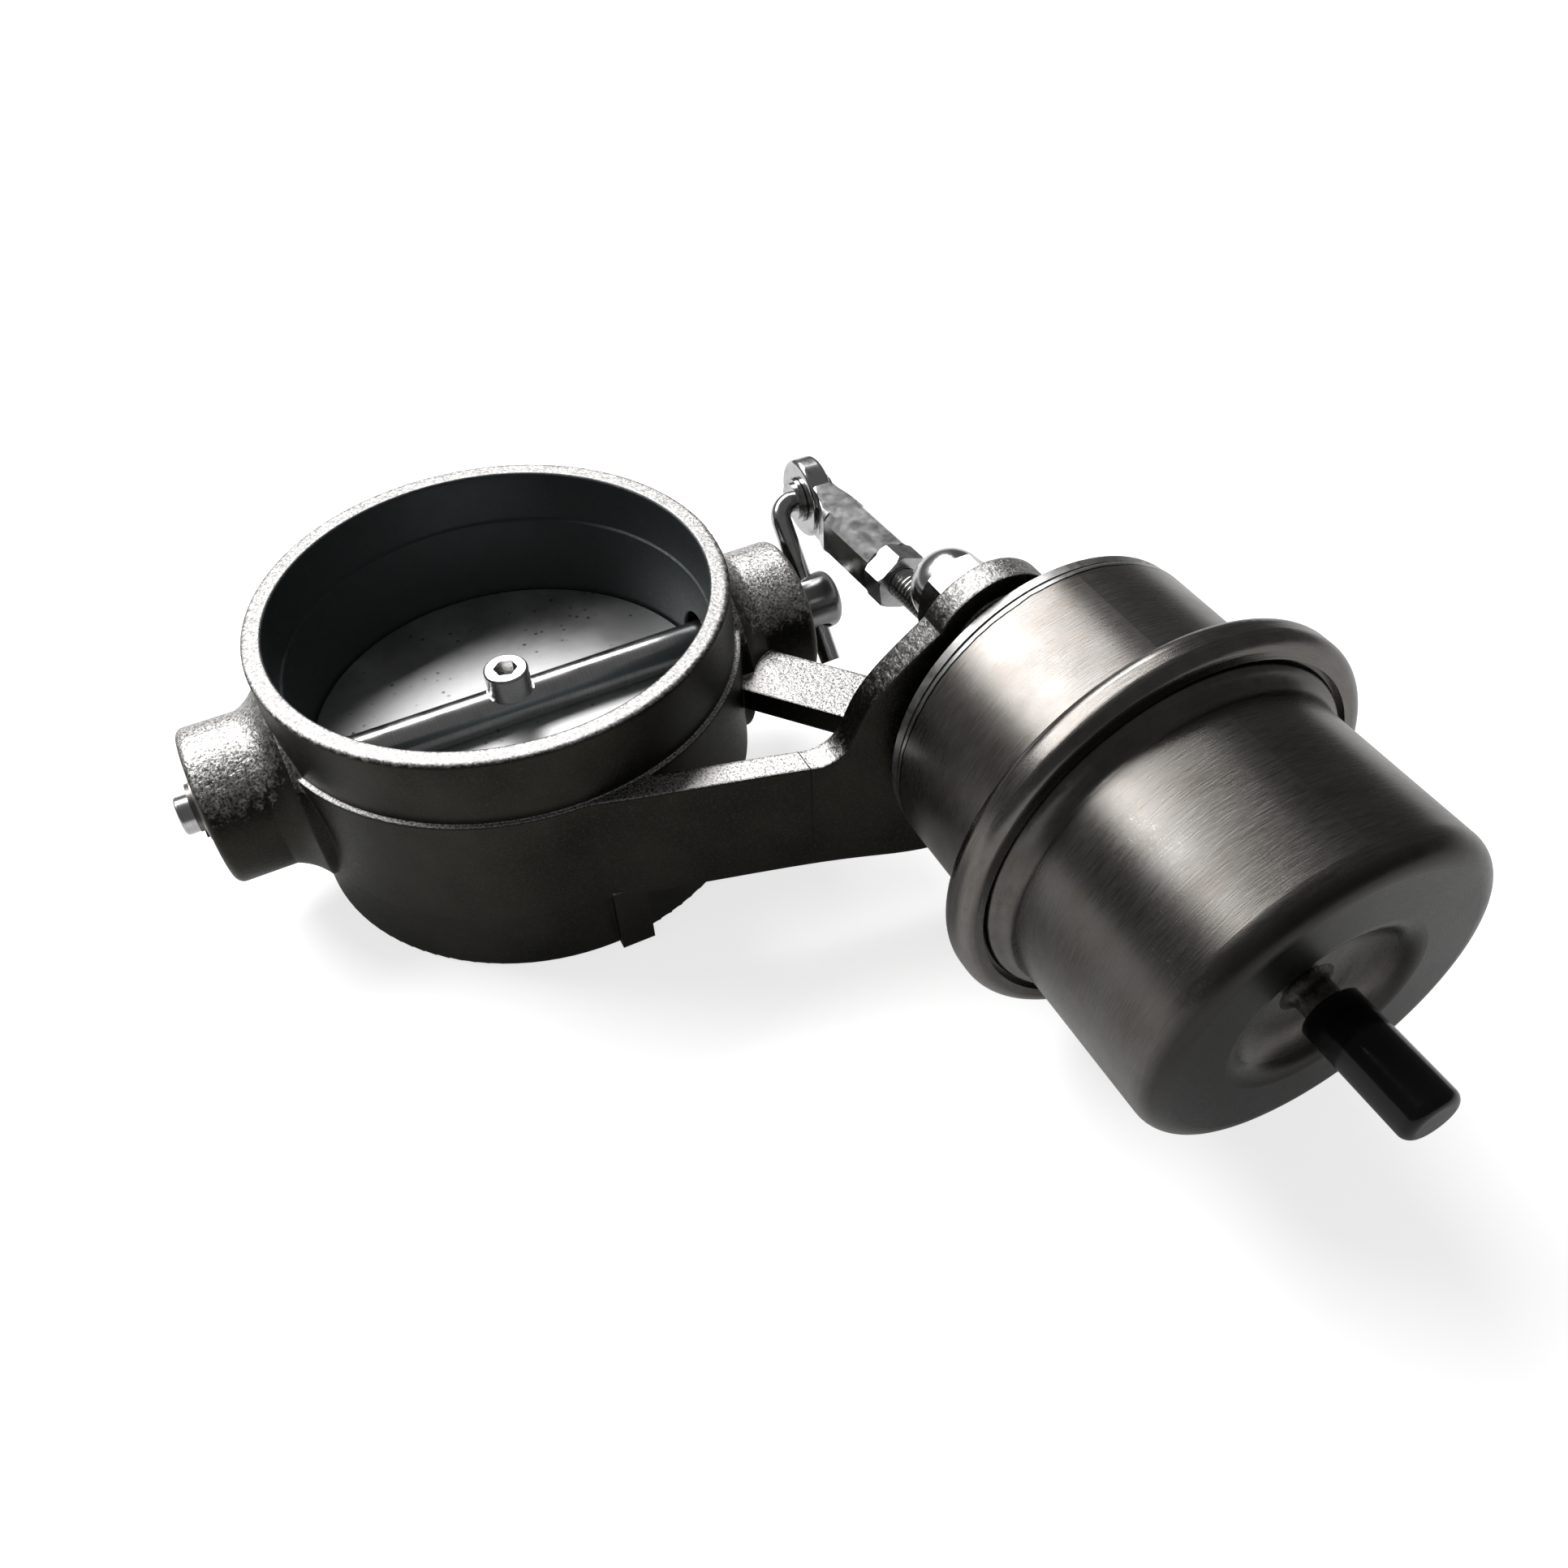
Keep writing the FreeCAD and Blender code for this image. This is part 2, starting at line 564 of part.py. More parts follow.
def make_studs():
    shapes = []
    for y, z in STUDS:
        stud = cyl_x(STUD_R, PLATE_FRONT - LOCK_T - NUT_M8_H + 4.5, FRONT_IN, y, z)
        head = cyl_x(5.2, FRONT_IN, FRONT_IN + STUD_HEAD_T, y, z)
        shapes.append(fuse([stud, head]))
    return Part.makeCompound(shapes)


def make_lock_washers():
    """Split spring washers under the dome nuts."""
    shapes = []
    for y, z in STUDS:
        x0 = PLATE_FRONT - LOCK_T
        ring = cyl_x(7.0, x0, PLATE_FRONT, y, z).cut(cyl_x(STUD_R + 0.1, x0 - 1, PLATE_FRONT + 1, y, z))
        slit = box(x0 - 1, PLATE_FRONT + 1, -0.35, 0.35, 2, 9)
        slit.rotate(V(0, 0, 0), X_AXIS, 35)
        slit.translate(V(0, y, z))
        shapes.append(ring.cut(slit))
    return Part.makeCompound(shapes)


def make_dome_nuts():
    shapes = []
    for y, z in STUDS:
        base = PLATE_FRONT - LOCK_T
        body = hexagon(NUT_M8_AF, V(base, y, z), V(-1, 0, 0), NUT_M8_HEX, 11)
        guard = cyl(NUT_M8_AF / math.sqrt(3) + 0.01, V(base, y, z), V(-1, 0, 0), NUT_M8_HEX)
        body = body.common(guard.makeChamfer(0.8, [e for e in guard.Edges if len(e.Vertexes) == 1]))
        r = NUT_M8_AF / 2 - 0.2
        sphere_x = base - NUT_M8_H + r
        collar = cyl_x(r, sphere_x, base - NUT_M8_HEX + 0.5, y, z)
        dome = Part.makeSphere(r, V(sphere_x, y, z))
        dome = dome.common(box(sphere_x - 20, sphere_x, y - 9, y + 9, z - 9, z + 9))
        nut = fuse([body, collar, dome])
        shapes.append(nut.cut(cyl_x(STUD_R, base - NUT_M8_H + 4.5, base + 1, y, z)))
    return Part.makeCompound(shapes)


def make_retainer():
    """Front washer whose hub is staked through the diaphragm and the piston."""
    washer = cyl_x(16.5, RETAINER_X, RUBBER_X)
    hub = cyl_x(HUB_R, RUBBER_X, PISTON_X + PISTON_T + 1.0)
    return fuse([washer, hub])


def make_piston():
    plate = cyl_x(PISTON_R, PISTON_X, PISTON_X + PISTON_T)
    skirt = cyl_x(PISTON_R, PISTON_X + PISTON_T, PISTON_X + PISTON_SKIRT)
    skirt = skirt.cut(cyl_x(PISTON_R - 1.0, PISTON_X, PISTON_X + PISTON_SKIRT + 1))
    return fuse([plate, skirt]).cut(cyl_x(HUB_R, PISTON_X - 1, PISTON_X + PISTON_T + 1))


def make_diaphragm():
    t = RUBBER_T
    x0 = RUBBER_X
    return turn_x([
        (CLAMP, CAN_IN - 0.4), (CLAMP, FLANGE_R), (REAR_FLANGE, FLANGE_R),
        (REAR_FLANGE, CAN_IN - 1.2), (x0 + 3.2, PISTON_R + 1.0), (x0 + t, PISTON_R + 0.2),
        (x0 + t, HUB_R), (x0, HUB_R), (x0, PISTON_R + 0.6), (x0 + 2.6, PISTON_R + 1.9),
    ])


def make_spring_seat():
    x1 = REAR - SHEET
    return cyl_x(20.8, x1 - 1.2, x1).cut(cyl_x(DIMPLE_R + 1.1, x1 - 3, x1 + 1))


def make_return_spring():
    x0 = PISTON_X + PISTON_T + SPRING_WIRE + 0.05
    x1 = REAR - SHEET - 1.2 - SPRING_WIRE - 0.05
    helix = Part.makeHelix((x1 - x0) / SPRING_TURNS, x1 - x0, SPRING_R)
    start = helix.Edges[0].firstVertex().Point
    ring = Part.Wire(Part.Circle(start, V(0, 1, 0.05), SPRING_WIRE).toShape())
    coil = Part.Wire(helix.Edges).makePipeShell([ring], True, True)
    coil.rotate(V(0, 0, 0), Y_AXIS, 90)
    coil.translate(V(x0, ACT_Y, ACT_Z))
    return coil


os.makedirs("parts", exist_ok=True)
save("housing", make_housing())
save("bush_near", make_bush(-1))
save("bush_far", make_bush(1))
save("shaft", make_shaft())
save("disc", make_disc())
save("disc_screw", make_disc_screw())
save("screw_nut", make_screw_nut())
save("thrust_washer", make_thrust_washer())
save("retaining_clip", make_retaining_clip())
save("lever_wire", make_lever_wire())
save("pin_washer", make_pin_washer())
save("pin_clip", make_pin_clip())
save("rod_end", make_rod_end())
save("jam_nut", make_jam_nut())
save("actuator_rod", make_actuator_rod())
save("front_plate", make_front_plate())
save("front_can", make_front_can())
save("crimp_ring", make_crimp_ring())
save("rear_can", make_rear_can())
save("vacuum_nipple", make_nipple())
save("port_cap", make_port_cap())
save("mounting_studs", make_studs())
save("lock_washers", make_lock_washers())
save("dome_nuts", make_dome_nuts())
save("diaphragm_retainer", make_retainer())
save("piston", make_piston())
save("diaphragm", make_diaphragm())
save("spring_seat", make_spring_seat())
save("return_spring", make_return_spring())
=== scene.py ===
"""Looks of an exhaust cutout valve with a vacuum actuator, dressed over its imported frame."""
import bpy
import bmesh
import json
import math
from mathutils import Matrix, Vector


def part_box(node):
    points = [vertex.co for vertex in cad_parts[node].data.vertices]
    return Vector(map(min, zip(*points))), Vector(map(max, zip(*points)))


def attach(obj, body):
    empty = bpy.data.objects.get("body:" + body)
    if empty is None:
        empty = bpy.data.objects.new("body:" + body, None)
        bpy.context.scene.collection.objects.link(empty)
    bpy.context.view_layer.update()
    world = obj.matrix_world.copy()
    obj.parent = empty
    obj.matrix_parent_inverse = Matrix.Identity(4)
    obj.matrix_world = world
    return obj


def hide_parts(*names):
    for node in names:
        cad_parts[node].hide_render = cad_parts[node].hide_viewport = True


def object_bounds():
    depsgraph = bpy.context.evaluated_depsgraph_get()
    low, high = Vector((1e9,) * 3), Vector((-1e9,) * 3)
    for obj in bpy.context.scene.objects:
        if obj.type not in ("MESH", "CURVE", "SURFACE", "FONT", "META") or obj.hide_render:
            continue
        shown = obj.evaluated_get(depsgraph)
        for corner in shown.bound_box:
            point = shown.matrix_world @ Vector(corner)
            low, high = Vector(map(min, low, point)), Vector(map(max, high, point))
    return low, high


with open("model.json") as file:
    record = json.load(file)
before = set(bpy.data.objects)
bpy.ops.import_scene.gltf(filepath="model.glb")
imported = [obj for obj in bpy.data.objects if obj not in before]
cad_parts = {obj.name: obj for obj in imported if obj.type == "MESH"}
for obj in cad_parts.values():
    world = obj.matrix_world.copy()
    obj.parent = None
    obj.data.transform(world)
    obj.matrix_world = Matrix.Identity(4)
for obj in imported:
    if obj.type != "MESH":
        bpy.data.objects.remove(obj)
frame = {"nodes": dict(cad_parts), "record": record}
cad_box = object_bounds()

# Housing: one iron casting with two spigots, a band, shaft bosses, bracket wall and bar. The
# skin is blasted to a fine olive-grey grain, and coarser on the bosses. Faces that point up
# get a painted highlight, speckled with the grain and duller on the spigot rims.


class Socket:
    """A socket in a material's nodes. Python's arithmetic on it adds Math nodes."""

    def __init__(self, tree, plug=None):
        self.tree = tree
        self.plug = plug

    def node(self, kind, settings, values, output=0):
        made = self.tree.nodes.new(kind)
        for name, value in settings.items():
            setattr(made, name, value)
        for key, value in values.items():
            if isinstance(value, Socket):
                self.tree.links.new(value.plug, made.inputs[key])
            else:
                made.inputs[key].default_value = value
        return Socket(self.tree, made.outputs[output])

    def maths(self, operation, a, b=0.0):
        return self.node("ShaderNodeMath", {"operation": operation}, {0: a, 1: b})

    def __add__(self, other):
        return self.maths("ADD", self, other)

    def __radd__(self, other):
        return self.maths("ADD", other, self)

    def __sub__(self, other):
        return self.maths("SUBTRACT", self, other)

    def __rsub__(self, other):
        return self.maths("SUBTRACT", other, self)

    def __mul__(self, other):
        return self.maths("MULTIPLY", self, other)

    def __abs__(self):
        return self.maths("ABSOLUTE", self)

    def axes(self):
        """The X, Y and Z of this vector."""
        split = self.node("ShaderNodeSeparateXYZ", {}, {0: self}).plug.node
        return [Socket(self.tree, plug) for plug in split.outputs]

    def vector(self, x=0.0, y=0.0, z=0.0):
        """A vector of three values."""
        return self.node("ShaderNodeCombineXYZ", {}, {0: x, 1: y, 2: z})

    def stretch(self, *factors):
        """This vector with its X, Y and Z multiplied."""
        return self.node("ShaderNodeVectorMath", {"operation": "MULTIPLY"}, {0: self, 1: factors})

    def length(self):
        """The length of this vector."""
        return self.node("ShaderNodeVectorMath", {"operation": "LENGTH"}, {0: self}, 1)

    def noise(self, scale, detail=2.0, rough=0.5, twist=0.0):
        """Noise at this vector, 0 to 1, at so many lumps to the metre."""
        values = {
            "Vector": self, "Scale": scale, "Detail": detail, "Roughness": rough,
            "Distortion": twist,
        }
        return self.node("ShaderNodeTexNoise", {}, values, "Fac")

    def step(self, low, high, at_low=0.0, at_high=1.0):
        """Runs straight from at_low to at_high while this value goes from low to high."""
        values = {
            "Value": self, "From Min": low, "From Max": high, "To Min": at_low, "To Max": at_high,
        }
        return self.node("ShaderNodeMapRange", {}, values)

    def blend(self, a, b):
        """Colour a where this mask is 0, and colour b where it is 1."""
        return self.node("ShaderNodeMix", {"data_type": "RGBA"}, {0: self, 6: a, 7: b}, 2)

    def bump(self, distance, strength, normal=None):
        """A normal from this height, in metres."""
        values = {"Height": self, "Distance": distance, "Strength": strength}
        if normal is not None:
            values["Normal"] = normal
        return self.node("ShaderNodeBump", {}, values)


def new_finish(name):
    """A new material with its Object coordinates."""
    material = bpy.data.materials.new(name)
    material.use_nodes = True
    return material, Socket(material.node_tree).node("ShaderNodeTexCoord", {}, {}, "Object")


def set_surface(material, values):
    """Links and numbers for the sockets of the material's surface shader."""
    surface = material.node_tree.nodes["Principled BSDF"]
    for key, value in values.items():
        if isinstance(value, Socket):
            material.node_tree.links.new(value.plug, surface.inputs[key])
        else:
            surface.inputs[key].default_value = value
    return material


def tone(level, warm=0.0):
    """A grey in linear light, a little warmer or cooler."""
    return (level * (1 + warm), level, level * (1 - warm), 1.0)


def dress(names, material):
    """Give carried-over nodes a material."""
    for name in names:
        slots = frame["nodes"][name].data.materials
        slots.clear()
        slots.append(material)


SPIGOT_BORE, BORE_EDGE = 0.0386, 0.0003
BOSS_START, BOSS_BLEND = 0.0435, 0.002
WALL_FACE, WALL_EDGE = 0.0475, 0.0004
PARTING_LINE_Y, PARTING_LINE_W = 0.0355, 0.00016
RIM_Z, RIM_DEPTH = 0.0492, 0.0005
EDGE_ROUND, SKIN_DEPTH = 0.0009, 0.00022
OLIVE_DARK, OLIVE_LIGHT = (0.016, 0.0155, 0.0122, 1), (0.036, 0.0345, 0.0280, 1)
BORE_GREY = (0.068, 0.079, 0.082, 1)

casting, at = new_finish("cast_iron")
x, y, z = at.axes()
grain = at.noise(2300, 3, 0.65)
coarse = at.noise(820, 3, 0.6, 0.6)
cloud = at.noise(48, 3, 0.55)
facing = at.node("ShaderNodeNewGeometry", {}, {}, "Normal").axes()[2]
# Painted highlight: faces that point up take a lighter, grain-speckled colour, duller on the
# spigot rims.
top_highlight = (facing + (coarse - 0.5) * 0.6 + (cloud - 0.5) * 0.25).step(0.48, 0.86)
inside = at.stretch(1, 1, 0).length().step(SPIGOT_BORE, SPIGOT_BORE + BORE_EDGE, 1, 0)
boss = abs(y).step(BOSS_START, BOSS_START + BOSS_BLEND)
on_wall = x.step(WALL_FACE, WALL_FACE + WALL_EDGE)
seam = abs(y - PARTING_LINE_Y).step(0.0, PARTING_LINE_W, 1, 0) * on_wall
skin = cloud.step(0.3, 0.7).blend(OLIVE_DARK, OLIVE_LIGHT)
skin = grain.step(0.48, 0.72, 0, 0.5).blend(skin, tone(0.065, 0.05))
rim = z.step(RIM_Z - RIM_DEPTH, RIM_Z)
bright = grain.step(0.38, 0.58).blend(tone(0.15, 0.04), tone(0.70, 0.02))
bright = (rim * grain.step(0.30, 0.62, 0.85, 0.35)).blend(bright, tone(0.20, 0.02))
colour = (top_highlight * (1 - inside)).blend(skin, bright)
colour = inside.blend(colour, BORE_GREY)
colour = (seam * 0.7).blend(colour, tone(0.03))
height = (grain * 0.35 + coarse * (0.45 + boss * 0.9)) * (0.35 + top_highlight * 0.65) - seam * 0.8
edges = at.node("ShaderNodeBevel", {"samples": 6}, {"Radius": EDGE_ROUND})
set_surface(casting, {
    "Base Color": colour, "Metallic": inside.step(0, 1, 1.0, 0.6),
    "Roughness": grain.step(0.3, 0.7, 0.34, 0.55), "Normal": height.bump(SKIN_DEPTH, 0.75, edges),
})
dress(["housing"], casting)

# Bushes: sintered bronze rings pressed into the bosses, matt and slightly porous.
# They carry the shaft and are hidden behind its washer and its head.
bronze, at = new_finish("sintered_bronze")
pores = at.noise(2600, 3, 0.7)
set_surface(bronze, {
    "Base Color": pores.step(0.35, 0.6).blend((0.09, 0.06, 0.03, 1), (0.42, 0.31, 0.17, 1)),
    "Metallic": 1.0, "Roughness": 0.5, "Normal": pores.bump(0.00005, 0.5),
})
dress(["bush_near", "bush_far"], bronze)

# Shaft: turned from steel bar and polished where it crosses the bore. Turning leaves fine
# rings round it, and its large end outside the boss has gone dark.
HEAD_START, HEAD_EDGE = 0.0573, 0.0006
TURNED_LINES = 5200

turned, at = new_finish("turned_shaft")
x, y, z = at.axes()
rings = at.vector(y=y * TURNED_LINES).noise(1.0, 2, 0.6)
smear = at.noise(160, 3, 0.6)
dark_end = y.step(HEAD_START - HEAD_EDGE, HEAD_START)
colour = rings.step(0.3, 0.7).blend(tone(0.42), tone(0.66))
colour = (smear.step(0.5, 0.7) * 0.4).blend(colour, tone(0.25, 0.03))
colour = (dark_end * 0.7).blend(colour, tone(0.20, 0.01))
set_surface(turned, {
    "Base Color": colour, "Metallic": 1.0, "Roughness": smear.step(0.3, 0.7, 0.16, 0.28),
    "Normal": rings.bump(0.000012, 0.5),
})
dress(["shaft"], turned)

# Disc: flat cold-rolled plate screwed to the shaft's flat. It is dull, with small dark specks
# and fine marks from handling, and a painted highlight lies beside the shaft.
HIGHLIGHT_FROM, HIGHLIGHT_TO = 0.006, 0.026
ROLLED_LINES = (3000, 260, 260)

disc_plate, at = new_finish("rolled_disc")
x, y, z = at.axes()
cloud = at.noise(75, 4, 0.6)
rolled = at.stretch(*ROLLED_LINES).noise(1.0, 2, 0.6)
specks = at.node("ShaderNodeTexVoronoi", {}, {"Vector": at, "Scale": 520.0}, "Distance")
specks = specks.step(0.10, 0.26, 1, 0) * at.noise(230, 2).step(0.50, 0.60)
# Painted highlight: the disc is lighter in a band either side of the shaft.
near_shaft = abs(x).step(HIGHLIGHT_FROM, HIGHLIGHT_TO, 1, 0)
colour = cloud.step(0.3, 0.7).blend(tone(0.36), tone(0.56))
colour = (near_shaft * 0.6).blend(colour, tone(0.50))
colour = (rolled.step(0.55, 0.75) * 0.35).blend(colour, tone(0.55))
colour = (specks * 0.8).blend(colour, tone(0.035, 0.03))
set_surface(disc_plate, {
    "Base Color": colour, "Metallic": 0.8, "Roughness": cloud.step(0.3, 0.7, 0.38, 0.52),
    "Normal": (rolled - specks * 1.5).bump(0.00003, 0.6),
})
dress(["disc"], disc_plate)

# Disc screw and its nut: an M5 cap screw with a hexagon socket, through the shaft and the
# disc. Both are smooth and satin.


def plated(name, level, roughness, warm=0.0, lumps=700, depth=0.00002, worn=0.3):
    """Smooth metal with an uneven shine and faint dark wear."""
    material, at = new_finish(name)
    skin = at.noise(lumps, 3, 0.6)
    wear = at.noise(240, 4, 0.65).step(0.52, 0.72, 0, worn)
    colour = wear.blend(tone(level, warm), tone(level * 0.35, warm))
    return set_surface(material, {
        "Base Color": colour, "Metallic": 1.0,
        "Roughness": skin.step(0.3, 0.7, roughness * 0.75, roughness * 1.3),
        "Normal": skin.bump(depth, 0.5),
    })


dress(["disc_screw", "screw_nut"], plated("satin_screw", 0.58, 0.26, 0.01))

# Washer and clip on the shaft's stub: a plain washer, held by an open spring-steel clip in a
# groove. They are the only things that keep the shaft in its bushes.
dress(["thrust_washer"], plated("plain_washer", 0.40, 0.34, 0.02))
dress(["retaining_clip"], plated("clip_steel", 0.16, 0.32, 0.03))

# Lever: one bright-plated wire, bent square above the shaft's cross hole so that its upper
# leg is the pin of the rod end. A collar and a push-on cap keep the rod end on the pin.
bright_plate = plated("bright_plate", 0.52, 0.19, lumps=420, depth=0.00004, worn=0.55)
dress(["lever_wire", "pin_washer", "pin_clip"], bright_plate)

# Rod end and its lock nut: a plated eye with a squared shank, and a thin hexagon nut that
# jams it on the thread.
dress(["rod_end", "jam_nut"], bright_plate)

# Actuator rod: M6 rod with a rolled thread, from the rod end to a staked head inside the can.
# The last part before the can is plain and bright.
PIN = Vector(next(
    joint["pos_m"] for joint in frame["record"]["behaviour"]["joints"]
    if joint["name"] == "rod_pivot"
))
ROD_LEAN = math.radians(3.77)
THREAD_START, THREAD_END, ROD_TIP = 0.0285, 0.0435, 0.0776
THREAD_ROOT, THREAD_CREST, THREAD_PITCH, THREAD_RUNOUT = 0.00248, 0.00299, 0.00100, 0.0006
ROD_R, ROD_HEAD_R, ROD_HEAD_T = 0.0030, 0.0055, 0.0012
SMOOTH_UNDER = math.radians(38)


def turn_profile(points, steps=64):
    """A closed solid turned about X from (along, radius) points, the first and last on it."""
    bm = bmesh.new()
    verts = [bm.verts.new((along, radius, 0)) for along, radius in points]
    edges = [bm.edges.new(pair) for pair in zip(verts, verts[1:])]
    bmesh.ops.spin(
        bm, geom=verts + edges, cent=(0, 0, 0), axis=(1, 0, 0), angle=2 * math.pi, steps=steps,
        use_merge=True, use_duplicate=False)
    bmesh.ops.remove_doubles(bm, verts=bm.verts, dist=1e-7)
    bmesh.ops.recalc_face_normals(bm, faces=bm.faces)
    return bm


def rolled_thread(start, turns, steps=28):
    """A helical thread about X: one tooth's outline is spun and moved along, then closed."""
    bm = bmesh.new()
    outline = [(0, THREAD_ROOT), (0.40, THREAD_CREST), (0.55, THREAD_CREST), (1, THREAD_ROOT)]
    verts = [bm.verts.new((start + share * THREAD_PITCH, radius, 0)) for share, radius in outline]
    edges = [bm.edges.new(pair) for pair in zip(verts, verts[1:])]
    bmesh.ops.spin(
        bm, geom=verts + edges, cent=(0, 0, 0), axis=(1, 0, 0),
        dvec=(THREAD_PITCH / steps, 0, 0), angle=2 * math.pi * turns, steps=steps * turns,
        use_merge=False, use_duplicate=False)
    bmesh.ops.remove_doubles(bm, verts=bm.verts, dist=1e-6)
    bmesh.ops.holes_fill(bm, edges=[edge for edge in bm.edges if edge.is_boundary], sides=0)
    bmesh.ops.triangulate(bm, faces=[face for face in bm.faces if len(face.verts) > 4])
    bmesh.ops.recalc_face_normals(bm, faces=bm.faces)
    return bm


def finished(name, parts, place, material):
    """Join meshes into one object at the origin, with its place in its mesh."""
    mesh = bpy.data.meshes.new(name)
    whole = bmesh.new()
    for part in parts:
        part.to_mesh(mesh)
        whole.from_mesh(mesh)
        part.free()
    bmesh.ops.transform(whole, matrix=place, verts=whole.verts)
    whole.to_mesh(mesh)
    whole.free()
    mesh.materials.append(material)
    mesh.shade_smooth()
    mesh.set_sharp_from_angle(angle=SMOOTH_UNDER)
    made = bpy.data.objects.new(name, mesh)
    bpy.context.scene.collection.objects.link(made)
    return made


thread = rolled_thread(THREAD_START, round((THREAD_END - THREAD_START) / THREAD_PITCH))
shank = turn_profile([
    (THREAD_END, 0), (THREAD_END, THREAD_ROOT), (THREAD_END + THREAD_RUNOUT, ROD_R),
    (ROD_TIP - ROD_HEAD_T, ROD_R), (ROD_TIP - ROD_HEAD_T, ROD_HEAD_R), (ROD_TIP, ROD_HEAD_R),
    (ROD_TIP, 0),
])
rod_place = Matrix.Translation(PIN) @ Matrix.Rotation(ROD_LEAN, 4, "Z")
threaded_rod = finished("threaded_rod", [thread, shank], rod_place, bright_plate)
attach(threaded_rod, "rod")
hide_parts("actuator_rod")

# Mounting: two studs with flat heads inside the can pass the casting's plate and take split
# washers and closed dome nuts, all bright plated. The plate behind them is plain steel.
dress(["mounting_studs", "lock_washers", "dome_nuts"], bright_plate)
dress(["front_plate"], plated("front_plate_steel", 0.30, 0.36, 0.02))

# Cans: two spun stainless cups with a rolled ring round their joint. Spinning and buffing
# leave fine lines round the actuator's axis, soft bands along it, and a few scratches.
can_low, can_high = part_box("front_can")
ACT_Y = (can_low[1] + can_high[1]) / 2
ACT_Z = (can_low[2] + can_high[2]) / 2
SPUN_LINES = 3600
SCRATCHES = (420, 2400, 1500)
REAR_FACE, REAR_EDGE = 0.1285, 0.0015
SEAM_X, SEAM_WANDER, SEAM_LIP = 0.0640, 0.0007, 0.00018
SEAM_LINE, SEAM_FADE = 0.00012, 0.00022


def spun_sheet(name, level, roughness, seam_x=None):
    """Stainless sheet with lines round the actuator's axis."""
    material, at = new_finish(name)
    axis_at = {0: at, 1: (0, ACT_Y, ACT_Z)}
    centred = at.node("ShaderNodeVectorMath", {"operation": "SUBTRACT"}, axis_at)
    x, y, z = centred.axes()
    turn = y.maths("ARCTAN2", z, y)
    run = (x + centred.stretch(0, 1, 1).length()) * SPUN_LINES
    fine = at.vector(run, turn * 7.0).noise(1.0, 3, 0.7)
    wide = at.vector(run * 0.05, turn * 2.2).noise(1.0, 2)
    stain = at.noise(42, 4, 0.6)
    lines = (fine * 0.6 + wide * 0.4).step(0.32, 0.66)
    colour = lines.blend(tone(level * 0.72, 0.13), tone(level * 1.2, 0.03))
    colour = (stain.step(0.50, 0.72) * 0.4).blend(colour, tone(level * 0.5, 0.10))
    scratch = abs(at.stretch(*SCRATCHES).noise(1.0, 1, 0.5, 2.0) - 0.5)
    scratch = scratch.step(0.0, 0.004, 1, 0) * at.noise(75, 1).step(0.57, 0.64)
    colour = (scratch * 0.55).blend(colour, tone(0.75))
    # Painted shade: the flat rear face of the rear can is darkened.
    rear = x.step(REAR_FACE - REAR_EDGE, REAR_FACE)
    colour = (rear * 0.85).blend(colour, tone(level * 0.3, 0.05))
    if seam_x is not None:
        wander = x - seam_x + (at.noise(260, 2) - 0.5) * SEAM_WANDER
        colour = (wander.step(-SEAM_LIP, SEAM_LIP, 1, 0) * 0.8).blend(colour, tone(0.40))
        colour = abs(wander).step(SEAM_LINE, SEAM_FADE, 1, 0).blend(colour, tone(0.008))
    return set_surface(material, {
        "Base Color": colour, "Metallic": 1.0,
        "Roughness": (fine * 0.5 + stain * 0.5).step(0.3, 0.7, roughness - 0.06, roughness + 0.10),
        "Normal": fine.bump(0.00004, 0.55),
    })


dress(["front_can"], spun_sheet("spun_front_can", 0.165, 0.28, SEAM_X))
dress(["rear_can"], spun_sheet("spun_rear_can", 0.112, 0.27))
dress(["crimp_ring"], spun_sheet("rolled_ring", 0.155, 0.24))

# Inside the cans: a pressed cup and washer on a rubber diaphragm, pushed forward by an oil
# tempered coil spring that stands on a plain ring. All of it is hidden.
dress(["piston", "diaphragm_retainer", "spring_seat"], plated("pressed_steel", 0.38, 0.36, 0.02))
dress(["return_spring"], plated("spring_wire", 0.18, 0.36, 0.02))


def moulded_rubber(name, level, roughness):
    """Rubber with a faint ripple and a little dust."""
    material, at = new_finish(name)
    dust = at.noise(900, 3, 0.7)
    return set_surface(material, {
        "Base Color": dust.step(0.55, 0.8, 0, 0.3).blend(tone(level), tone(level * 1.5)),
        "Roughness": dust.step(0.3, 0.8, roughness, roughness * 1.5),
        "Specular IOR Level": 0.25, "Normal": at.noise(150, 2).bump(0.0003, 0.5),
    })


dress(["diaphragm"], moulded_rubber("matt_rubber", 0.02, 0.6))

# Vacuum pipe and its cap: a dull steel pipe brazed into the rear can, with dark flux at the
# joint, closed by a smooth black rubber cap.
PIPE_ROOT, FLUX_LENGTH = 0.1262, 0.0018
FLUX_BLACK = (0.030, 0.028, 0.027, 1)

pipe, at = new_finish("brazed_pipe")
x = at.axes()[0]
dirt = at.noise(700, 4, 0.65)
burnt = (x + (dirt - 0.5) * 0.004).step(PIPE_ROOT, PIPE_ROOT + FLUX_LENGTH, 1, 0)
colour = dirt.step(0.35, 0.7).blend(tone(0.11, 0.06), tone(0.26, 0.05))
set_surface(pipe, {
    "Base Color": (burnt * 0.85).blend(colour, FLUX_BLACK), "Metallic": 1.0,
    "Roughness": dirt.step(0.3, 0.7, 0.32, 0.55),
    "Normal": (dirt * (0.4 + burnt * 2)).bump(0.00015, 0.8),
})
dress(["vacuum_nipple"], pipe)
dress(["port_cap"], moulded_rubber("gloss_cap", 0.004, 0.12))

